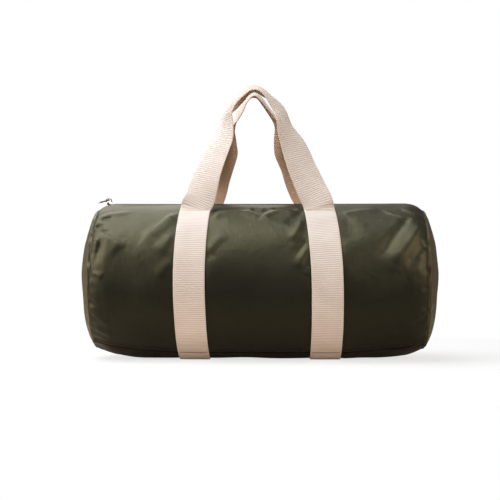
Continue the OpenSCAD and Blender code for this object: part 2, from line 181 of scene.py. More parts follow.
def run_length(points):
    """Length along a line of points, from its first one to each."""
    return np.concatenate([[0], np.cumsum(np.linalg.norm(np.diff(points, axis=0), axis=1))])


def face_mesh(name, points, faces, corners=None):
    """A smooth mesh of points in millimetres, with a UV place in millimetres for each face corner."""
    mesh = bpy.data.meshes.new(name)
    mesh.from_pydata((np.asarray(points) * MM).tolist(), [], np.asarray(faces).tolist())
    if corners is not None:
        layer = mesh.uv_layers.new(name="UVMap")
        layer.data.foreach_set("uv", (np.asarray(corners) * MM).astype(np.float32).ravel())
    mesh.polygons.foreach_set("use_smooth", np.ones(len(mesh.polygons), bool))
    mesh.update()
    return link(mesh, name)


def band_mesh(name, centres, across, out, width, thickness, cells, curl=None, lip=0):
    """A band along a middle line: directions across and out of it, its curl, and one edge's droop."""
    count = len(centres)
    run = run_length(centres)
    width = np.full(count, float(width))
    curl = np.full(count, 1e-3) if curl is None else np.maximum(curl, 1e-3)
    half = thickness / 2
    edge = [(math.cos(t), math.sin(t)) for t in np.linspace(math.pi / 2, -math.pi / 2, 5)]
    ring = [(c / cells - 0.5, 0.0, 1.0) for c in range(cells + 1)]
    ring += [(0.5, half * e[0] * 0.7, e[1]) for e in edge[1:-1]]
    ring += [(0.5 - c / cells, 0.0, -1.0) for c in range(cells + 1)]
    ring += [(-0.5, -half * e[0] * 0.7, -e[1]) for e in edge[1:-1]]
    share, past, side = (np.array(v) for v in zip(*ring))
    angle = share[None, :] * curl[:, None]
    radius = (width / curl)[:, None]
    reach = radius + side[None, :] * half
    flat = reach * np.sin(angle) + past[None, :] * np.cos(angle)
    rise = reach * np.cos(angle) - radius - past[None, :] * np.sin(angle)
    lip = np.broadcast_to(lip, count)[:, None]
    droop = lip * np.clip((-share[None, :] * np.sign(lip) - 0.28) / 0.22, 0, 1) ** 1.3
    flat, rise = flat + droop * 0.4, rise - np.abs(droop)
    points = centres[:, None] + across[:, None] * flat[..., None] + out[:, None] * rise[..., None]
    m = len(ring)
    index = np.arange(count * m).reshape(count, m)
    index = np.concatenate([index, index[:, :1]], 1)
    quads = np.stack([index[:-1, :-1], index[:-1, 1:], index[1:, 1:], index[1:, :-1]], -1).reshape(-1, 4)
    u = share * WEB_WIDTH + past
    uv = np.stack(np.broadcast_arrays(u[None, :], run[:, None]), -1)
    uv = np.concatenate([uv, uv[:, :1]], 1)
    corners = np.stack([uv[:-1, :-1], uv[:-1, 1:], uv[1:, 1:], uv[1:, :-1]], -2).reshape(-1, 2)
    return face_mesh(name, points.reshape(-1, 3), quads, corners)


def join(name, objects):
    """Joins mesh objects into one, in place."""
    bpy.ops.object.select_all(action="DESELECT")
    for obj in objects:
        obj.select_set(True)
    bpy.context.view_layer.objects.active = objects[0]
    bpy.ops.object.join()
    objects[0].name = name
    return objects[0]


def stitch_mesh(name, points, out, share, thread):
    """A row of stitches along a line of points: short raised threads that fill a share of the pitch."""
    run = run_length(points)
    count = max(1, int(run[-1] / STITCH_PITCH))
    verts, faces = [], []

    def at(distance, line):
        """The point of a line at a distance along the row."""
        return np.array([np.interp(distance, run, line[:, i]) for i in range(3)])

    for k in range(count):
        start = run[-1] * (k + (1 - share) / 2) / count
        end = run[-1] * (k + (1 + share) / 2) / count
        base = len(verts)
        for t, fat in ((0, 0.35), (0.25, 0.95), (0.75, 0.95), (1, 0.35)):
            d = start + (end - start) * t
            p, q, r = at(d, points), at(min(d + 0.5, run[-1]), points), at(max(d - 0.5, 0), points)
            n = at(d, out)
            n /= np.linalg.norm(n)
            along = (q - r) / (np.linalg.norm(q - r) + 1e-9)
            beside = np.cross(n, along)
            lift = thread * (0.1 + 0.5 * math.sin(math.pi * min(max(t, 0.08), 0.92)))
            for a in np.linspace(0, 2 * math.pi, 7)[:-1]:
                high, wide = fat * thread * math.sin(a) * 0.8, fat * thread * math.cos(a)
                verts.append(p + n * (lift + high) + beside * wide)
        for ring in range(3):
            for a in range(6):
                low, b = base + ring * 6, (a + 1) % 6
                faces.append([low + a, low + b, low + 6 + b, low + 6 + a])
    return face_mesh(name, np.array(verts), np.array(faces))


# Folds in the cloth: each is a line of (place, degrees from the top), a height, and widths above and below
FRONT_FOLDS = [
    ([(-228, 16.5), (-190, 14.5), (-138, 14)], -1.3, 2.5, 3.5),
    ([(-138, 34.8), (-155, 46.2), (-173, 54.6), (-184, 59.6)], 4.6, 6, 13),
    ([(-138, 55.4), (-148, 63.2), (-160, 71.1)], 2.1, 9.5, 6.8),
    ([(-134, 75.4), (-148, 80.3), (-157, 87.8)], 1.4, 8.1, 5.4),
    ([(-261, 46.1), (-258, 38.5), (-242, 34.7), (-225, 32.8), (-199, 28.9)], 2.1, 5.4, 4.7),
    ([(-252, 39.1), (-241, 38.5), (-232, 37.9)], -2.1, 4.7, 5.4),
    ([(-259, 47.1), (-252, 46.6), (-245, 47.1)], -2.45, 4.1, 4.7),
    ([(-262, 49.6), (-254, 49.3), (-245, 50)], 2.1, 3.4, 4.1),
    ([(-244, 51.4), (-239, 55.1)], -1.75, 4.1, 4.1),
    ([(-246, 57.1), (-230, 61.6), (-211, 68.5)], 3.6, 8, 15),
    ([(-245, 58.8), (-249, 65.3), (-253, 72.7), (-253, 80.1)], -2.8, 5.4, 5.4),
    ([(-255, 58.8), (-258, 66.6), (-257, 71.1)], 2.1, 4.1, 4.1),
    ([(-260, 85.8), (-251, 87), (-241, 88.7)], 1.68, 4.7, 5.4),
    ([(-261, 117), (-249, 121.1), (-234, 124.4)], 1.54, 6.8, 5.4),
    ([(-259, 130.8), (-245, 133.8), (-229, 134.8)], 1.54, 6.8, 5.4),
    ([(-260, 103.7), (-250, 108)], 1.4, 5.4, 5.4),
    ([(-74, 37.4), (-62, 33), (-47, 30.5), (-29, 29.4), (-18, 30), (-8, 33), (5, 38.1)], 3.6, 4, 8),
    ([(5, 38.1), (16, 33.1), (30, 29.5), (48, 28.8), (66, 32)], 3.6, 4, 8),
    ([(-12, 22.5), (4, 27), (20, 22.5)], -3.4, 5, 5.5),
    ([(-77, 29.6), (-65, 24.7), (-31, 22.7), (-12, 22.5)], -3, 4.5, 4.5),
    ([(20, 22.5), (45, 22.5), (64, 25)], -3, 4.5, 4.5),
    ([(71, 28.1), (52, 39.8), (43, 46.9)], -2.8, 6.8, 6.8),
    ([(68, 40), (60, 51.1), (50, 61.1)], 3.15, 6.8, 6.8),
    ([(74, 59.6), (61, 67.8), (55, 71.3)], -2.1, 5.4, 5.4),
    ([(75, 66.3), (65, 74.7), (60, 81)], 2.1, 6.8, 5.4),
    ([(-79, 66.7), (-62, 57.2), (-48, 52)], 1.82, 8.1, 8.1),
    ([(-80, 73.3), (-72, 68.2)], -1.05, 6.8, 6.8),
    ([(80, 79.6), (73, 85.1)], 1.26, 5.4, 5.4),
    ([(200, 28), (212, 33.2), (229, 37.1), (250, 39.5), (259, 43.4)], 1.6, 3.2, 3.4),
    ([(231, 26.1), (247, 31.7), (256, 35.3)], 1.4, 2.8, 3.2),
    ([(258, 46.5), (247, 55.6), (229, 66.7), (211, 78.2), (201, 83)], 3.9, 11, 9),
    ([(236, 38.9), (225, 47.5), (208, 58.9), (194, 68.2), (186, 75.4)], -3.6, 9, 8),
    ([(262, 62), (246, 72), (228, 82)], -2, 6, 7),
    ([(262, 66), (252, 72), (246, 77)], 1.2, 5.4, 5.4),
    ([(264, 114.4), (238, 120.7), (216, 123.7)], 1.8, 8.1, 6.8),
    ([(263, 120.7), (239, 126.7)], -1.2, 6.8, 6.8),
    ([(262, 80), (250, 83), (240, 84)], 0.7, 5, 5),
    ([(263, 98.7), (251, 101.4)], 0.9, 5, 5),
    ([(137, 37.6), (146, 50.3), (147, 62.1)], -1.26, 10.8, 10.8),
    ([(134, 32.4), (165, 27.8), (194, 26.1)], 1.68, 6.8, 6.8),
]
BACK_FOLDS = [
    ([(-132, 34), (-165, 42), (-196, 56), (-215, 70)], 4.2, 16.2, 8.1),
    ([(-132, 52), (-160, 64), (-190, 72)], 2.1, 9.5, 6.8),
    ([(-262, 40), (-240, 46), (-222, 50)], 2.1, 5.4, 5.4),
    ([(-262, 54), (-243, 58)], -2.1, 5.4, 5.4),
    ([(-262, 66), (-240, 74), (-220, 88)], 3.15, 10.8, 6.8),
    ([(-78, 32), (-52, 28), (-14, 36), (24, 32), (62, 27)], 2.38, 6.8, 6.8),
    ([(-70, 26), (-20, 25), (50, 23)], -2.1, 4.1, 5.4),
    ([(78, 38), (64, 52), (52, 66)], 3.15, 6.8, 6.8),
    ([(78, 30), (62, 42), (50, 54)], -2.45, 6.8, 6.8),
    ([(76, 58), (62, 72), (54, 80)], -1.82, 5.4, 5.4),
    ([(134, 36), (166, 34), (204, 40), (240, 52)], 2.52, 8.1, 5.4),
    ([(256, 52), (236, 66), (214, 84), (198, 98)], 4.2, 12.2, 10.8),
    ([(240, 50), (216, 60), (200, 74)], -2.1, 9.5, 9.5),
    ([(262, 78), (240, 90), (222, 100)], -2.1, 6.8, 8.1),
    ([(262, 100), (240, 104)], 1.54, 5.4, 5.4),
    ([(-262, 98), (-236, 106), (-218, 110)], 1.82, 6.8, 5.4),
    ([(-262, 122), (-240, 126)], 1.4, 5.4, 5.4),
    ([(262, 124), (238, 128), (222, 128)], 1.68, 6.8, 5.4),
]


def pucker(angle, seed):
    """An uneven ripple round a gathered seam."""
    chance = np.random.default_rng(seed)
    total = np.zeros_like(angle)
    for k in range(14, 46, 3):
        total += np.sin(k * angle + chance.uniform(0, 6.28)) * chance.uniform(0.3, 1.0) * (20 / k) ** 0.5
    return total / 2.6


def slow_waves(x, along, seed, amplitude):
    """A soft unevenness of the cloth, a few centimetres from crest to crest."""
    chance = np.random.default_rng(seed)
    total = np.zeros(np.broadcast(x, along).shape)
    for _ in range(16):
        wave, turn, phase = chance.uniform(40, 120), chance.uniform(0, math.pi), chance.uniform(0, 6.28)
        course = x * math.cos(turn) + along * math.sin(turn)
        total += np.sin(course * 2 * math.pi / wave + phase) * wave / 100
    return total * amplitude / 3


def bell(distance, reach, power=2):
    """1 on a line, falling to nothing beyond the reach from it."""
    return np.exp(-((distance / reach) ** power))


def ramp(value, start, length):
    """0 up to the start, 1 past the length beyond it."""
    return np.clip((value - start) / length, 0, 1)


def rounded(share):
    """A share from 0 to 1 that leaves 0 and reaches 1 gently."""
    return share * share * (3 - 2 * share)


def fold_height(x, degrees, folds):
    """Height of a list of folds at places x and angles in degrees from the top."""
    total = np.zeros(np.broadcast(x, degrees).shape)
    along = np.radians(degrees) * BARREL_RADIUS
    for line, height, above, below in folds:
        best = np.zeros_like(total)
        line = [(p, math.radians(a) * BARREL_RADIUS) for p, a in line]
        lengths = [math.dist(line[k], line[k + 1]) for k in range(len(line) - 1)]
        done, whole = 0.0, sum(lengths)
        for k, length in enumerate(lengths):
            (x0, s0), (x1, s1) = line[k], line[k + 1]
            t = ((x - x0) * (x1 - x0) + (along - s0) * (s1 - s0)) / length**2
            t = np.clip(t, 0, 1)
            beside, under = x - x0 - t * (x1 - x0), along - s0 - t * (s1 - s0)
            side = (under * abs(x1 - x0) - beside * (s1 - s0) * np.sign(x1 - x0)) / length
            place = (done + t * length) / whole
            spread = above + (below - above) / (1 + np.exp(-side / 1.5))
            spread = spread * (0.85 + 0.5 * place)
            fade = rounded(np.clip(np.minimum(place / 0.2 + 0.4, (1 - place) / 0.35), 0, 1))
            best = np.maximum(best, bell(np.hypot(beside, under), spread) * fade)
            done += length
        total += best * height
    return total


def wrapped(angle):
    """An angle brought into the range from minus half a turn to half a turn."""
    return (np.asarray(angle) + math.pi) % (2 * math.pi) - math.pi


# How far each strap lies off its plain course in front, by degrees from the top
ASKEW_DEGREES = (24, 47, 73, 96, 120, 134, 157, 180)
LEFT_ASKEW = (-3.8, -2.6, -2.1, -1.9, -0.7, 0, 1.6, 0)
RIGHT_ASKEW = (-3.2, -1.9, -0.1, 1.2, 1.4, 0.9, 0, 0)


# How far the straps lean in at the handles' feet
STRAP_LEAN = 6.5


def strap_centre(side, angle):
    """The strap's middle: it leans in a little towards the top, and was sewn on a touch askew in front."""
    degrees = np.degrees(wrapped(angle))
    swing = np.clip((85 - np.abs(degrees)) / 60, 0, 1)
    askew = np.interp(degrees, ASKEW_DEGREES, LEFT_ASKEW if side < 0 else RIGHT_ASKEW) * (degrees > 0)
    return side * (STRAP_X - STRAP_LEAN * swing**1.5) + askew


# Marks of sewing in the barrel's cloth, in millimetres where the name doesn't say degrees
PUCKER_REACH = 13
TUCK_DEPTH = 1.2
TUCK_REACH = 3.0
ZIP_DIP = 2.3
ZIP_DIP_DEGREES = 7
PRESSED_DEPTH = 0.3
GROOVE_DEPTH = 1.8
GROOVE_DEGREES = 0.8
LIP_HEIGHT = 1.3
LIP_DEGREES = 1.5
LIP_ABOVE_DEGREES = 2.2


def cloth_lift(x, angle):
    """How far the cloth stands off the plain barrel."""
    angle = wrapped(angle)
    degrees = np.degrees(np.abs(angle))
    # folds, and a slow unevenness between them
    folds = np.where(angle > 0, fold_height(x, degrees, FRONT_FOLDS), fold_height(x, degrees, BACK_FOLDS))
    waves = slow_waves(x, angle * BARREL_RADIUS, 3, 0.55)
    lift = folds * ramp(degrees, 3, 8) + waves * ramp(degrees, 8, 15)
    # puckers and a tuck at the end seams, and a dip beside the zip
    reach = SEAM_HALF - np.abs(x)
    ripple = pucker(angle + np.sign(x) * 0.7, 11) * np.where(x > 0, 1.0, 1.7)
    lift = lift + ripple * bell(reach, PUCKER_REACH, 1.4) * ramp(degrees, 12, 10)
    lift = lift - TUCK_DEPTH * bell(reach, TUCK_REACH) - ZIP_DIP * bell(degrees, ZIP_DIP_DEGREES)
    # held flat under the straps
    beside = np.minimum(np.abs(x - strap_centre(1, angle)), np.abs(x - strap_centre(-1, angle)))
    held = ramp(degrees, 24.5, 1.5) / (1 + np.exp((beside - WEB_WIDTH / 2 - 2) / 2.2))
    lift = lift * (1 - held) - PRESSED_DEPTH * held
    # the bottom seam: a groove, and a lip of cloth above it
    past = degrees - SEAM_DEGREES
    lift = lift * np.clip(np.abs(past) / 3 + 0.15, 0, 1)
    lift = lift - GROOVE_DEPTH * bell(past, GROOVE_DEGREES)
    lift = lift + LIP_HEIGHT * (1 - held) * bell(past + LIP_ABOVE_DEGREES, LIP_DEGREES)
    return np.clip(lift, -5, 7.5)


def new_material(name):
    """A material with its node tree and its one shader."""
    material = bpy.data.materials.new(name)
    material.use_nodes = True
    tree = material.node_tree
    tree.nodes.clear()
    output = tree.nodes.new("ShaderNodeOutputMaterial")
    shader = tree.nodes.new("ShaderNodeBsdfPrincipled")
    tree.links.new(shader.outputs["BSDF"], output.inputs["Surface"])
    return material, tree, shader


def node(tree, kind, links, **values):
    """A node with links into some of its inputs and set values in others."""
    made = tree.nodes.new(kind)
    for key, value in values.items():
        made.inputs[key].default_value = value
    for key, source in links.items():
        tree.links.new(source, made.inputs[key])
    return made


def srgb(r, g, b):
    """A colour given in screen values from 0 to 255, as the linear one that nodes want."""
    return [((v / 255 + 0.055) / 1.055) ** 2.4 if v > 10 else v / 255 / 12.92 for v in (r, g, b)] + [1.0]


def maths(tree, operation, a, b=None, clamp=False):
    """One step of arithmetic between sockets or numbers."""
    made = tree.nodes.new("ShaderNodeMath")
    made.operation = operation
    made.use_clamp = clamp
    for index, value in enumerate((a, b)):
        if isinstance(value, (int, float)):
            made.inputs[index].default_value = value
        elif value is not None:
            tree.links.new(value, made.inputs[index])
    return made.outputs[0]


def plus(tree, a, b, clamp=False):
    """The sum of two sockets or numbers."""
    return maths(tree, "ADD", a, b, clamp)


def times(tree, a, b, clamp=False):
    """The product of two sockets or numbers."""
    return maths(tree, "MULTIPLY", a, b, clamp)


def mix_colour(tree, share, a, b):
    """A colour between two, each a colour or a socket."""
    made = tree.nodes.new("ShaderNodeMix")
    made.data_type = "RGBA"
    tree.links.new(share, made.inputs[0])
    for index, value in ((6, a), (7, b)):
        if isinstance(value, list):
            made.inputs[index].default_value = value
        else:
            tree.links.new(value, made.inputs[index])
    return made.outputs[2]


def noise(tree, vector, scale, detail=2.0, rough=0.5):
    """Cloudy noise over a vector."""
    made = tree.nodes.new("ShaderNodeTexNoise")
    made.inputs["Scale"].default_value = scale
    made.inputs["Detail"].default_value = detail
    made.inputs["Roughness"].default_value = rough
    tree.links.new(vector, made.inputs["Vector"])
    return made.outputs["Fac"]


def wave(tree, distance, pitch):
    """A sine over a distance, with a crest at each pitch."""
    return maths(tree, "SINE", times(tree, distance, 2 * math.pi / pitch))


def colour_and_bump(tree, shader, tone, dark, light, height, strength):
    """Gives a shader its colour, by a tone between two colours, and its bump, by a height in metres."""
    tree.links.new(mix_colour(tree, tone, srgb(*dark), srgb(*light)), shader.inputs["Base Color"])
    bump = node(tree, "ShaderNodeBump", {"Height": height}, Strength=strength, Distance=1.0)
    tree.links.new(bump.outputs["Normal"], shader.inputs["Normal"])


# Weaves in metres: pitch of the nylon's yarns, of the webbing's ribs and cords, and the selvedge's place
NYLON_YARN = 0.00085
RIB = 0.0034
CORD = 0.0032
SELVEDGE = 0.0228


def nylon(name, dark, light, shine=0.62):
    """Woven nylon: a fine weave and slubs in its bump, clouded colour, and a gloss that is strong on what
    faces up and weak on what faces down, a painted shade on the lower cloth.
    """
    material, tree, shader = new_material(name)
    coordinates = tree.nodes.new("ShaderNodeTexCoord")
    place, flat = coordinates.outputs["Object"], coordinates.outputs["UV"]
    cloud = noise(tree, place, 9, 3)
    grain = noise(tree, flat, 1400, 1)
    tone = plus(tree, times(tree, cloud, 0.7), times(tree, grain, 0.3))
    split = node(tree, "ShaderNodeSeparateXYZ", {"Vector": flat})
    warp, weft = wave(tree, split.outputs[0], NYLON_YARN), wave(tree, split.outputs[1], NYLON_YARN)
    coarse = noise(tree, flat, 520, 2, 0.7)
    wrinkle = noise(tree, place, 55, 3, 0.55)
    height = plus(tree, times(tree, times(tree, warp, weft), 0.00007), times(tree, wrinkle, 0.0022))
    height = plus(tree, height, times(tree, coarse, 0.00034))
    colour_and_bump(tree, shader, tone, dark, light, height, 0.55)
    tree.links.new(plus(tree, times(tree, cloud, 0.12), 0.38), shader.inputs["Roughness"])
    # the gloss fades on what faces down: painted shade in the lower cloth's reflections
    normal = tree.nodes.new("ShaderNodeNewGeometry").outputs["Normal"]
    upward = node(tree, "ShaderNodeSeparateXYZ", {"Vector": normal}).outputs[2]
    gloss = times(tree, plus(tree, upward, 0.15), 1.5, True)
    tree.links.new(plus(tree, times(tree, gloss, shine), 0.22), shader.inputs["Specular IOR Level"])
    shader.inputs["Specular Tint"].default_value = (1.0, 0.87, 0.44, 1)
    shader.inputs["Sheen Weight"].default_value = 0.04
    shader.inputs["Sheen Tint"].default_value = (1.0, 0.92, 0.66, 1)
    shader.inputs["Sheen Roughness"].default_value = 0.4
    return material


def webbing(name, dark, light):
    """Cotton webbing: ribs across the band, crossed by cords along it, and a smooth selvedge each side."""
    material, tree, shader = new_material(name)
    coordinates = tree.nodes.new("ShaderNodeTexCoord")
    place, flat = coordinates.outputs["Object"], coordinates.outputs["UV"]
    split = node(tree, "ShaderNodeSeparateXYZ", {"Vector": flat})
    across, along = split.outputs[0], split.outputs[1]
    wobble = times(tree, noise(tree, flat, 130, 2), 0.0019)
    ribs, cords = wave(tree, plus(tree, along, wobble), RIB), wave(tree, across, CORD)
    weave = plus(tree, times(tree, ribs, 0.6), times(tree, times(tree, ribs, cords), 0.55))
    edge = maths(tree, "SUBTRACT", maths(tree, "ABSOLUTE", across), SELVEDGE)
    edge = times(tree, edge, 1600, True)
    weave = times(tree, weave, maths(tree, "SUBTRACT", 1.0, edge))
    cloud = noise(tree, place, 30, 3)
    fibre = noise(tree, place, 1500, 2)
    tone = plus(tree, times(tree, cloud, 0.35), times(tree, fibre, 0.25))
    tone = plus(tree, tone, times(tree, weave, 0.42))
    tone = maths(tree, "SUBTRACT", tone, times(tree, edge, 0.05), True)
    tone = plus(tree, tone, 0.18, True)
    height = plus(tree, times(tree, weave, 0.00026), times(tree, fibre, 0.00018))
    colour_and_bump(tree, shader, tone, dark, light, height, 0.8)
    shader.inputs["Roughness"].default_value = 0.85
    shader.inputs["Specular IOR Level"].default_value = 0.2
    shader.inputs["Sheen Weight"].default_value = 0.3
    shader.inputs["Sheen Roughness"].default_value = 0.6
    return material


def plain(name, dark, light, rough, metal=0.0, scale=300, depth=0.00008):
    """A finish with a fine grain in its colour, roughness and bump: metal, teeth, tape and thread."""
    material, tree, shader = new_material(name)
    place = tree.nodes.new("ShaderNodeTexCoord").outputs["Object"]
    grain, cloud = noise(tree, place, scale, 2), noise(tree, place, 60, 2)
    tone = plus(tree, times(tree, grain, 0.5), times(tree, cloud, 0.5))
    colour_and_bump(tree, shader, tone, dark, light, times(tree, grain, depth), 0.6)
    tree.links.new(plus(tree, times(tree, grain, 0.2), rough - 0.1), shader.inputs["Roughness"])
    shader.inputs["Metallic"].default_value = metal
    return material


OLIVE = nylon("olive_nylon", (21, 23, 21), (31, 34, 31))
# the ends: a lighter copy of the same nylon, painted light as if lit from the sides
LIT_END_OLIVE = nylon("end_nylon_painted_light", (62, 57, 42), (84, 78, 59), shine=0.3)
# the bottom: a near-black copy of the same nylon, painted shade
SHADED_BASE_OLIVE = nylon("base_nylon_painted_shade", (4, 4, 3), (8, 8, 6), shine=0.15)
COTTON = webbing("natural_webbing", (184, 159, 141), (250, 246, 242))
# the handles' undersides: a warmer, browner copy of the webbing, painted shade
SHADED_UNDERSIDE = webbing("webbing_underside_painted_shade", (212, 172, 142), (242, 210, 182))
# thread at the handles' feet: its own tan, darkened a little as painted shade of the crease there
THREAD_AND_SHADE = plain("natural_thread_and_painted_shade", (156, 120, 98), (204, 172, 150), 0.8, scale=2500)
# thread at the bottom seam: dark and nearly solid, partly stitching, partly painted shade of the seam
# crease
SEAM_THREAD_AND_SHADE = plain("seam_thread_and_painted_shade", (74, 58, 44), (98, 78, 62), 0.7, scale=2500)
TAPE = plain("zip_tape", (28, 26, 19), (42, 39, 29), 0.85, scale=1800, depth=0.0002)
BINDING = plain("seam_binding", (40, 38, 30), (60, 56, 44), 0.85, scale=1500, depth=0.0002)
TAB = plain("zip_tab", (146, 128, 98), (184, 164, 130), 0.85, scale=1500, depth=0.0002)
TEETH = plain("zip_teeth", (16, 15, 11), (30, 28, 21), 0.7, scale=900)
METAL = plain("nickel", (176, 172, 160), (214, 210, 198), 0.26, 1.0, scale=700, depth=0.00003)


def dress(obj, material, body=None):
    """Gives an object its material and slot, and the body that it rides on where that is one only."""
    obj.data.materials.clear()
    obj.data.materials.append(material)
    if body:
        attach(obj, body)
    return obj


def smooth(obj):
    """Adds one level of subdivision."""
    made = obj.modifiers.new("smooth", "SUBSURF")
    made.levels = made.render_levels = 1


def thicken(obj, thickness):
    """Gives a sheet its thickness, inwards, with crisp edges all round."""
    mesh = obj.data
    edges = np.zeros(len(mesh.loops), int)
    mesh.loops.foreach_get("edge_index", edges)
    mesh.edges.foreach_set("use_edge_sharp", np.bincount(edges, minlength=len(mesh.edges)) == 1)
    made = obj.modifiers.new("thickness", "SOLIDIFY")
    made.thickness = thickness * MM
    made.offset = -1
    made.use_even_offset = False
    return obj


def faced(obj, middle=None):
    """Turns every face outwards: away from the middle line given, or by the closed form itself."""
    mesh = obj.data
    if middle is None:
        form = bmesh.new()
        form.from_mesh(mesh)
        bmesh.ops.recalc_face_normals(form, faces=form.faces)
        form.to_mesh(mesh)
        form.free()
        return obj
    total = 0.0
    for face in list(mesh.polygons)[:: max(1, len(mesh.polygons) // 400)]:
        away = face.center - Vector(middle) * MM
        total += face.normal.dot(away)
    if total < 0:
        mesh.flip_normals()
    return obj


def unit(v):
    """Vectors at a length of one."""
    return v / np.linalg.norm(v, axis=-1, keepdims=True)


def square_to(v, t):
    """The part of vectors v that is square to directions t, at a length of one."""
    return unit(v - (v * t).sum(-1, keepdims=True) * t)


# Camera: the photograph was taken from straight ahead at half the bag's height, a little to the right
camera = bpy.data.objects.new("camera", bpy.data.cameras.new("camera"))
bpy.context.scene.collection.objects.link(camera)
camera.data.lens = 82.4
camera.data.sensor_width = 36
camera.location = (0.035, -1.9, 0.140)
aim = Vector((-0.0166, 0, 0.1785)) - camera.location
camera.rotation_euler = aim.to_track_quat("-Z", "Y").to_euler()
bpy.context.scene.camera = camera


def lamp(name, place, target, size, power, colour=(1, 1, 1)):
    """A soft box at a place, turned to a target, in metres and watts."""
    data = bpy.data.lights.new(name, "AREA")
    data.shape = "RECTANGLE"
    data.size, data.size_y = size
    data.energy = power
    data.color = colour
    obj = bpy.data.objects.new(name, data)
    bpy.context.scene.collection.objects.link(obj)
    obj.location = place
    obj.rotation_euler = (Vector(target) - Vector(place)).to_track_quat("-Z", "Y").to_euler()


lamp("key_light", (-1.75, -1.15, 0.8), (-0.05, 0, 0.14), (0.8, 0.9), 14, (1, 0.88, 0.78))
lamp("top_light", (-0.9, -0.15, 1.75), (-0.45, 0, 0.2), (2.0, 2.1), 46, (0.94, 1, 1.06))
lamp("left_light", (-1.7, -0.2, 0.6), (-0.2, 0, 0.12), (0.6, 0.7), 7)
lamp("back_light", (-0.6, 1.6, 1.5), (-0.1, 0, 0.2), (1.6, 0.8), 12, (1, 0.96, 0.88))
lamp("low_light", (-1.05, -0.75, 0.2), (-0.22, 0, 0.06), (0.4, 0.3), 2, (1, 0.9, 0.8))
lamp("right_light", (1.7, -1.25, 0.7), (0.05, 0, 0.16), (0.7, 0.9), 24, (1, 0.9, 0.8))

world = bpy.data.worlds.new("studio")
bpy.context.scene.world = world
world.use_nodes = True
sky = world.node_tree
sky.nodes.clear()
back = sky.nodes.new("ShaderNodeBackground")
path = sky.nodes.new("ShaderNodeLightPath")
back.inputs["Color"].default_value = (1, 1, 1, 1)
seen = plus(sky, times(sky, path.outputs["Is Camera Ray"], 0.9), 0.1)
sky.links.new(seen, back.inputs["Strength"])
sky.links.new(back.outputs["Background"], sky.nodes.new("ShaderNodeOutputWorld").inputs["Surface"])


def cloth(name, node_name, columns, angles, side, material, body=None):
    """A sheet of the barrel's cloth over places and angles, in front for side 1 and behind for side -1."""
    x, angle = np.meshgrid(columns, angles, indexing="ij")
    points = barrel(x, side * angle, cloth_lift(x, side * angle))
    uv = np.stack([x, angle * BARREL_RADIUS], -1)
    obj = thicken(faced(grid_mesh(name, points, uv), (0, 0, CENTRE)), DRAWN_CLOTH)
    dress(obj, material, body)
    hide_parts(node_name)
    return obj


def mouth_bend(obj):
    """Bakes the placing of a piece of one flap into its mesh; the piece is not bent."""
    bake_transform(obj)


def flap(side, name, hand, end):
    """Half of a flap's cloth, from the middle of the bag to its end."""
    span = np.linspace(0, hand * SEAM_HALF, 178)
    angles = np.linspace(SLOT_ANGLE, FOLD_ANGLE, 28)
    obj = cloth(f"{name}_flap_{end}", f"{name}_flap", span, angles, side, OLIVE)
    mouth_bend(obj)


# Gathers of a dome at its rim: puckers and a tuck
DOME_PUCKER = 2.0
DOME_PUCKER_REACH = 14
DOME_TUCK_DEPTH = 2.6
DOME_TUCK_REACH = 4

# Folds of a dome: place round the rim and how it turns inwards, height, and width
DOME_FOLDS = (((0.12, 0.62), 4.0, 6), ((0.30, 0.8), -2.5, 8), ((-0.6, 0.9), 3.0, 8))


def dome_lift(side, share, angle):
    """How far a dome's cloth stands off its plain form: puckered at the rim, calm under zip and tab."""
    reach = share * DOME_LENGTH
    angle = wrapped(angle)
    lift = pucker(angle + 2 + side, 21) * DOME_PUCKER * bell(reach, DOME_PUCKER_REACH, 1.2)
    lift = lift - DOME_TUCK_DEPTH * bell(reach, DOME_TUCK_REACH)
    waves = slow_waves(reach * np.sin(angle) * 1.2, reach * np.cos(angle) * 1.2, 31, 1.2)
    lift = lift + waves * ramp(reach, 0, 20)
    for (start, drift), height, width in DOME_FOLDS:
        ridge = start + (reach / DOME_LENGTH) * drift
        lift = lift + height * bell((angle - ridge) * (18 + reach), width) * np.exp(-reach / 60)
    calm = ramp(np.abs(angle) * (END_RADIUS - reach), 8, 6) * np.where(share > TAB_END + 0.06, 0, 1)
    calm = np.maximum(calm, ramp(share, TAB_END + 0.02, 0.06))
    rim = 0.25 + 0.75 * ramp(np.degrees(np.abs(angle)), 16, 22)
    return lift * calm * rim * np.clip((1 - share) / 0.2, 0, 1)


def domed_end(side, end):
    """The cloth of a domed end, gathered at the seam, with the slot of the zip at the top."""
    shares = np.concatenate([np.linspace(0, 0.3, 44), np.linspace(0.31, 1, 50)])
    share, turn = np.meshgrid(shares, np.linspace(0, 1, 321), indexing="ij")
    slot = SLOT_ANGLE * np.clip((SLOT_END + 0.02 - share) / 0.012, 0, 1)
    angle = slot + turn * (2 * math.pi - 2 * slot)
    points = dome(side, share, angle, dome_lift(side, share, angle))
    points[..., 2] = np.maximum(points[..., 2], WEB + 0.4)
    uv = np.stack([share * DOME_LENGTH * np.cos(angle), share * DOME_LENGTH * np.sin(angle)], -1)
    obj = thicken(faced(grid_mesh(f"{end}_dome", points, uv), (side * DOME_INSIDE, 0, CENTRE)), DRAWN_CLOTH)
    # the ends take the lighter copy of the nylon: painted light from the sides
    dress(obj, LIT_END_OLIVE, "bag")
    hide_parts(f"{end}_end_panel")


def seam_binding(side, end):
    """The tape that binds the raw edges of an end seam, inside the bag."""
    ring = np.linspace(TAPE_ANGLE, 2 * math.pi - TAPE_ANGLE, 180)
    place = side * (SEAM_HALF - 2.5)
    centres = barrel(place, ring, -CLOTH - 5)
    across = unit(barrel(place, ring, -CLOTH) - centres)
    out = np.broadcast_to(np.array([1.0, 0, 0]), across.shape)
    obj = faced(band_mesh(f"{end}_binding", centres, across, out, BINDING_WIDTH, BINDING_THICKNESS, 4))
    dress(obj, BINDING, "bag")
    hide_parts(f"{end}_seam_tape")


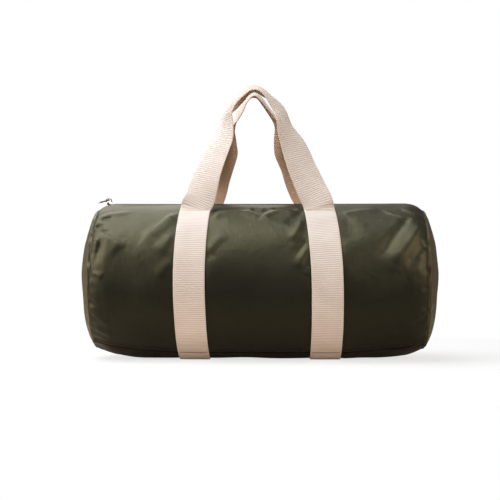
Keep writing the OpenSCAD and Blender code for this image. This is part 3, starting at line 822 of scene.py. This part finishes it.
def strap(side, end):
    """One strap, from the front handle's foot under the barrel to the back handle's foot."""
    ring = np.linspace(STRAP_END, 2 * math.pi - STRAP_END, 400)
    lift = WEB / 2 + 0.25 * np.sin(ring * 9 + side) * np.sin(ring * 4.3)
    lift = lift - 1.2 * bell(np.degrees(np.abs(wrapped(ring))) - SEAM_DEGREES, 0.5)
    middle = strap_centre(side, ring)
    centres = barrel(middle, ring, np.minimum(lift, WEB / 2 + 0.3))
    heading = unit(np.gradient(centres, axis=0))
    out = square_to(barrel(middle, ring, WEB / 2 + 1) - centres + 1e-9, heading)
    across = np.cross(out, heading)
    obj = faced(band_mesh(f"{end}_strap_band", centres, across, out, BAND_WIDTH, WEB, BAND_CELLS))
    smooth(obj)
    dress(obj, COTTON, "bag")
    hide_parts(f"{end}_strap")


# Handles: where they swing, and how they run from there, as in the CAD source
HANDLE_SETBACK = 1.2
HANDLE_LIFT = 1.45
HANDLE_START = 0.2
SWING_ANGLE = STITCH_ANGLE + HANDLE_SETBACK / BARREL_RADIUS
SWING_RADIUS = BARREL_RADIUS + WEB + HANDLE_LIFT
SWING_Y = SWING_RADIUS * math.sin(SWING_ANGLE)
SWING_Z = CENTRE + SWING_RADIUS * math.cos(SWING_ANGLE)
FEET_HALF = 100.0
TOP_GAP = 27.0
CURL = math.radians(70)
FOOT_DEGREES = (26.6, 26.0, 25.4)

# At the top of a loop one edge droops: how far, from which height above the floor, and over what rise
DROOP = 7.5
DROOP_FROM = 372
DROOP_RISE = 40

# Routes: share of FEET_HALF, share of the rise, turn on edge in quarter turns, and share of the curl
FRONT_ROUTE = [
    (-1, 0, 0, 0), (-0.95, 0.084, 0.06, 0), (-0.9, 0.186, 0.2, 0.05), (-0.845, 0.287, 0.32, 0.1),
    (-0.766, 0.388, 0.41, 0.15), (-0.69, 0.487, 0.46, 0.2), (-0.606, 0.591, 0.52, 0.3),
    (-0.587, 0.675, 0.6, 0.45), (-0.596, 0.729, 0.7, 0.6), (-0.606, 0.783, 0.84, 0.7),
    (-0.543, 0.832, 1.01, 0.5), (-0.468, 0.874, 1.11, 0.4), (-0.384, 0.921, 1.13, 0.35),
    (-0.301, 0.961, 1.11, 0.3), (-0.222, 1.004, 1.08, 0.3), (-0.158, 1.028, 1.06, 0.3),
    (-0.085, 1.036, 1.05, 0.3), (-0.009, 1.023, 1.06, 0.35), (0.072, 1, 1.07, 0.45),
    (0.162, 0.966, 0.99, 0.6), (0.262, 0.925, 0.85, 0.8), (0.351, 0.873, 0.77, 0.95),
    (0.415, 0.816, 0.76, 1), (0.445, 0.757, 0.72, 0.85), (0.46, 0.699, 0.63, 0.65),
    (0.495, 0.628, 0.51, 0.45), (0.551, 0.55, 0.4, 0.3), (0.606, 0.468, 0.31, 0.2),
    (0.694, 0.333, 0.24, 0.1), (0.775, 0.234, 0.16, 0.05), (0.86, 0.132, 0.09, 0), (0.93, 0.059, 0.02, 0),
    (0.98, 0, 0, 0),
]
BACK_ROUTE = [
    (-0.98, 0, 0, 0), (-0.9, 0.068, 0.04, 0), (-0.82, 0.174, 0.13, 0.05), (-0.754, 0.278, 0.33, 0.1),
    (-0.66, 0.39, 0.48, 0.2), (-0.522, 0.522, 0.69, 0.2), (-0.52, 0.581, 0.79, 0.3),
    (-0.518, 0.638, 0.85, 0.45), (-0.525, 0.7, 0.92, 0.5), (-0.481, 0.773, 0.97, 0.4),
    (-0.421, 0.826, 0.99, 0.3), (-0.348, 0.886, 0.99, 0.2), (-0.293, 0.946, 0.98, 0.15),
    (-0.21, 0.995, 0.98, 0.1), (-0.158, 1.015, 0.97, 0.1), (-0.101, 1.019, 0.96, 0.1),
    (-0.045, 1.012, 0.95, 0.1), (0.005, 0.985, 0.95, 0.1), (0.046, 0.957, 0.95, 0.15),
    (0.104, 0.916, 0.96, 0.2), (0.194, 0.858, 0.95, 0.3), (0.283, 0.794, 0.94, 0.4),
    (0.326, 0.746, 0.91, 0.5), (0.331, 0.689, 0.87, 0.5), (0.33, 0.641, 0.83, 0.4),
    (0.337, 0.597, 0.79, 0.3), (0.372, 0.516, 0.69, 0.2), (0.532, 0.391, 0.51, 0.15),
    (0.63, 0.276, 0.33, 0.1), (0.73, 0.172, 0.18, 0.05), (0.85, 0.075, 0.04, 0), (0.97, 0, 0, 0),
]


def eased(values, reach):
    """Values smoothed along a line, with their ends kept."""
    weight = np.hanning(2 * reach + 3)[1:-1]
    weight = weight / weight.sum()
    flat = values.reshape(len(values), -1)
    padded = np.concatenate([2 * flat[:1] - flat[reach:0:-1], flat, 2 * flat[-1:] - flat[-2:-reach - 2:-1]])
    made = np.stack([np.convolve(padded[:, i], weight, "valid") for i in range(flat.shape[1])], -1)
    return made.reshape(values.shape)


def handle_line(route, side):
    """Middle line, directions across and out, and curl of a handle, from strap end to strap end."""
    route = np.array(route)
    height = route[:, 1] * HANDLE_RISE
    lean = (SWING_Y - TOP_GAP) / HANDLE_RISE
    way = np.stack([route[:, 0] * FEET_HALF, -SWING_Y + height * lean, SWING_Z + height + HANDLE_START], -1)
    feet = []
    for hand in (-1, 1):
        angles = np.radians(FOOT_DEGREES)
        feet.append(barrel(strap_centre(hand, angles), angles, WEB / 2 + np.array([0, 0, 0.3])))
    way[0, 0], way[-1, 0] = feet[0][-1, 0], feet[1][-1, 0]
    points = np.concatenate([feet[0], way, feet[1][::-1]])
    turn = np.concatenate([[0, 0, 0], route[:, 2], [0, 0, 0]]) * math.pi / 2
    curl = np.concatenate([[0, 0, 0], route[:, 3], [0, 0, 0]]) * CURL
    run = run_length(points)
    even = np.linspace(0, run[-1], int(run[-1]))
    line = np.stack([np.interp(even, run, points[:, i]) for i in range(3)], -1)
    line[4:-4] = eased(line, 7)[4:-4]
    line = eased(line, 2)
    turn, curl = eased(np.interp(even, run, turn), 9), eased(np.interp(even, run, curl), 9)
    t = unit(np.gradient(line, axis=0))
    foot = np.clip(1 - np.minimum(even, even[-1] - even) / 9, 0, 1)[:, None]
    seat = np.array([0, -math.sin(STITCH_ANGLE), math.cos(STITCH_ANGLE)])
    out = square_to(seat * foot + np.array([0, -1.0, 0]) * (1 - foot), t)
    over = square_to(np.stack([-t[:, 2], 0 * t[:, 0], t[:, 0]], -1), t)
    face = unit(out * np.cos(turn)[:, None] + over * np.sin(turn)[:, None])
    wide = np.cross(face, t)
    flip = np.array([1.0, side, 1.0])
    return line[::2] * flip, wide[::2] * flip, face[::2] * flip, curl[::2]


def handle(side, name, route):
    """A handle whose underside takes a warmer, browner copy of the webbing, a painted shade, and whose feet
    bend over the stitch line of the straps.
    """
    line, wide, face, curl = handle_line(route, side)
    high = rounded(ramp(line[:, 2], DROOP_FROM, DROOP_RISE))
    lip = DROOP * side * high * np.clip((48 - line[:, 0]) / 60, 0.25, 1)
    obj = faced(band_mesh(f"{name}_handle_band", line, wide, face, BAND_WIDTH, WEB, BAND_CELLS, curl, lip))
    smooth(obj)
    dress(obj, COTTON)
    obj.data.materials.append(SHADED_UNDERSIDE)
    # the faces of each ring from the middle of one edge, round the underside, to that of the other: these
    # take the painted shade
    ring = 2 * (BAND_CELLS + 4)
    for polygon in obj.data.polygons:
        polygon.material_index = int(BAND_CELLS + 2 <= polygon.index % ring < ring - 2)
    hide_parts(f"{name}_handle")
    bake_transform(obj)


# Rows of stitches: half their length, and their places in degrees from the top
ROW_HALF = 22
FOOT_ROWS = (27.3, 28.6)
SEAM_ROWS = (146.6,)


def stitches(name, side, material, rows_at, share, thread):
    """Rows of stitches across both straps on one side, at places in degrees from the top."""
    rows = []
    for hand in (-1, 1):
        for degrees in rows_at:
            angle = math.radians(degrees) * side
            middle = float(strap_centre(hand, angle))
            points = barrel(np.linspace(middle - ROW_HALF, middle + ROW_HALF, 45), angle, WEB)
            out = unit(barrel(points[:, 0], angle, WEB + 2) - points)
            rows.append(stitch_mesh("row", points, out, share, thread))
    dress(join(name, rows), material, "bag")


def chain_line(hand):
    """The zip's line from the middle of the bag, over the corner and down the dome to the slot's end."""
    places = np.concatenate([np.linspace(0, CLOSED_HALF, 100), np.linspace(CLOSED_HALF, SEAM_HALF, 30)[1:]])
    radius, centre = section(places)
    over = np.stack([hand * places, 0 * places, centre + (radius - CLOTH) * math.cos(SLOT_ANGLE)], -1)
    down = dome(hand, np.linspace(0, SLOT_END, 30)[1:], 0.0, -CLOTH)
    return np.concatenate([over, down])


def tape(name, hand, side):
    """Half of one side's tape, woven, from the middle of the bag to the end of the slot."""
    line = chain_line(hand)
    tangent = unit(np.gradient(line, axis=0))
    forward = np.sign(tangent[:, 0] + 1e-9 * hand)
    rise = np.stack([-tangent[:, 2] * forward, 0 * forward, np.abs(tangent[:, 0])], -1)
    rise = unit(np.where(np.abs(tangent[:, :1]) > 1e-3, rise, np.array([hand, 0, 0.0])))
    reach = np.linspace(TAPE_START, TAPE_REACH, 9)
    sunk = reach - (BARREL_RADIUS - CLOTH) * math.sin(SLOT_ANGLE)
    drop = np.maximum(sunk, 0) ** 2 / (2 * BARREL_RADIUS) + np.clip(sunk / 2, 0, 1) * 0.5
    points = line[:, None] + reach[None, :, None] * np.array([0, -side, 0.0])
    points = points - rise[:, None] * drop[None, :, None]
    uv = np.stack(np.broadcast_arrays(run_length(line)[:, None], reach[None, :]), -1)
    return thicken(faced(grid_mesh(name, points, uv), (0, 0, CENTRE)), DRAWN_TAPE)


# Pitch of the teeth, and how far short of the slot's end they stop
TOOTH_PITCH = 4.0
TEETH_SHORT = 9

# One tooth: rings of four corners, narrower at the crown and towards the middle of the chain
TOOTH = [
    (x * (1.1 if y < 0 else 0.72), y, z)
    for z, width in ((0, 1), (1.9, 1), (2.5, 0.72))
    for x, y in ((-width, -4.0), (width, -4.0), (width, 1.1), (-width, 1.1))
]
TOOTH_FACES = [[3, 2, 1, 0], [8, 9, 10, 11]]
TOOTH_FACES += [[k + r, (k + 1) % 4 + r, (k + 1) % 4 + r + 4, k + r + 4] for r in (0, 4) for k in range(4)]


def teeth(name, hand, side):
    """Half of one side's row of moulded teeth, which stand between those of the other side."""
    line = chain_line(hand)
    run = run_length(line)
    verts, faces = [], []
    place = TOOTH_PITCH * (0.25 if side * hand > 0 else 0.75)
    while place < run[-1] - TEETH_SHORT:
        p = np.array([np.interp(place, run, line[:, i]) for i in range(3)])
        q = np.array([np.interp(place + 1, run, line[:, i]) for i in range(3)])
        t = (q - p) / np.linalg.norm(q - p)
        up = np.array([-t[2], 0, t[0]]) * hand
        y = np.array([0, side * 1.0, 0])
        base = len(verts)
        verts += [p + t * a + y * b + up * (c + 0.05) for a, b, c in TOOTH]
        faces += [[base + i for i in face] for face in TOOTH_FACES]
        place += TOOTH_PITCH
    obj = faced(face_mesh(name, np.array(verts), np.array(faces)))
    made = obj.modifiers.new("rounded", "BEVEL")
    made.width, made.segments = 0.28 * MM, 2
    obj.data.polygons.foreach_set("use_smooth", np.zeros(len(obj.data.polygons), bool))
    return obj


def zip_half(side, name, hand, end):
    """Tape and teeth of one flap, on one half of the bag, over the corner and down the dome."""
    obj = dress(tape(f"{name}_tape_{end}", hand, side), TAPE)
    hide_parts(f"{name}_zip_tape", f"{end}_tape_end")
    mouth_bend(obj)
    obj = dress(teeth(f"{name}_teeth_{end}", hand, side), TEETH)
    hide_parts(f"{name}_teeth", f"{end}_teeth_end")
    mouth_bend(obj)


def zip_tab(hand, end):
    """The cloth patch sewn over the end of the zip."""
    shares = np.linspace(SLOT_END - 0.015, TAB_END + 0.02, 14)
    share, across = np.meshgrid(shares, np.linspace(-1, 1, 13), indexing="ij")
    wide = TAB_HALF + 0.6 * np.sin((share - SLOT_END) * 60)
    radius = np.maximum(np.interp(share, [SLOT_END, TAB_END], DOME_OUT[3:5]) * END_RADIUS, 10)
    points = dome(hand, share, across * wide / radius, 1.3 + 0.4 * (1 - across**2))
    obj = faced(grid_mesh(f"{end}_tab_patch", points, points[..., 1:]), (hand * DOME_INSIDE, 0, CENTRE))
    smooth(thicken(obj, 1.0))
    dress(obj, TAB, "bag")
    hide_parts(f"{end}_zip_tab")


def floor_paint():
    """Pale paint: white to the camera further out, and less bright to what reflects it."""
    material, tree, shader = new_material("floor_paint")
    shader.inputs["Roughness"].default_value = 0.9
    place = tree.nodes.new("ShaderNodeTexCoord").outputs["Object"]
    distance = tree.nodes.new("ShaderNodeVectorMath")
    distance.operation = "LENGTH"
    tree.links.new(place, distance.inputs[0])
    far = times(tree, maths(tree, "SUBTRACT", distance.outputs["Value"], 0.34), 2.2, True)
    ahead = node(tree, "ShaderNodeSeparateXYZ", {"Vector": place}).outputs[1]
    ahead = maths(tree, "ABSOLUTE", ahead)
    away = times(tree, maths(tree, "SUBTRACT", ahead, 0.2), 4, True)
    seen = tree.nodes.new("ShaderNodeLightPath").outputs["Is Camera Ray"]
    bounce = mix_colour(tree, away, [0.74, 0.61, 0.49, 1], [0.04, 0.04, 0.035, 1])
    paint = mix_colour(tree, seen, bounce, [0.93, 0.93, 0.92, 1])
    tree.links.new(paint, shader.inputs["Base Color"])
    white = tree.nodes.new("ShaderNodeEmission")
    mix = tree.nodes.new("ShaderNodeMixShader")
    tree.links.new(times(tree, maths(tree, "MAXIMUM", far, 0.72), seen), mix.inputs[0])
    tree.links.new(shader.outputs[0], mix.inputs[1])
    tree.links.new(white.outputs[0], mix.inputs[2])
    tree.links.new(mix.outputs[0], tree.nodes["Material Output"].inputs["Surface"])
    return material


def floor():
    """A wide floor just under the bag."""
    corners = [(x * 3, y * 3, -0.0003) for x, y in ((-1, -1), (1, -1), (1, 1), (-1, 1))]
    mesh = bpy.data.meshes.new("floor")
    mesh.from_pydata(corners, [], [(0, 1, 2, 3)])
    mesh.materials.append(floor_paint())
    link(mesh, "floor")


SIDES = ((1, "front"), (-1, "back"))
ENDS = ((-1, "left"), (1, "right"))

# Cloth of the barrel: front, back and bottom, the four halves of the flaps, and the ends
columns = np.linspace(-SEAM_HALF, SEAM_HALF, 354)
rows = np.linspace(FOLD_ANGLE, SEAM_ANGLE, 190)
for side, name in SIDES:
    cloth(f"{name}_cloth", f"{name}_panel", columns, rows, side, OLIVE, "bag")
under = np.linspace(SEAM_ANGLE, 2 * math.pi - SEAM_ANGLE, 60)
# the bottom takes the near-black copy of the nylon: painted shade
cloth("bottom_cloth", "bottom_panel", columns[::2], under, 1, SHADED_BASE_OLIVE, "bag")
for side, name in SIDES:
    for hand, end in ENDS:
        flap(side, name, hand, end)
for side, end in ENDS:
    domed_end(side, end)
    seam_binding(side, end)

# Webbing and its stitching: pale at the handle's foot, its tan partly a painted shade of the crease there;
# dark where the strap crosses the bottom seam, a nearly solid row that is partly a painted shade of the
# seam crease
for side, end in ENDS:
    strap(side, end)
for side, name in SIDES:
    handle(side, name, FRONT_ROUTE if side > 0 else BACK_ROUTE)
for side, name in SIDES:
    stitches(f"{name}_strap_stitches", side, THREAD_AND_SHADE, FOOT_ROWS, share=0.7, thread=0.34)
    stitches(f"{name}_seam_stitches", side, SEAM_THREAD_AND_SHADE, SEAM_ROWS, share=0.92, thread=0.6)

# Zip: tapes, teeth and tabs, and a finish for the CAD's metal parts
for side, name in SIDES:
    for hand, end in ENDS:
        zip_half(side, name, hand, end)
for hand, end in ENDS:
    zip_tab(hand, end)
for name in ("slider", "slider_bail", "puller", "top_stop", "bottom_stop"):
    bpy.data.objects[name].data.materials.clear()
    bpy.data.objects[name].data.materials.append(METAL)

floor()

bpy.context.scene.view_settings.view_transform = "Standard"
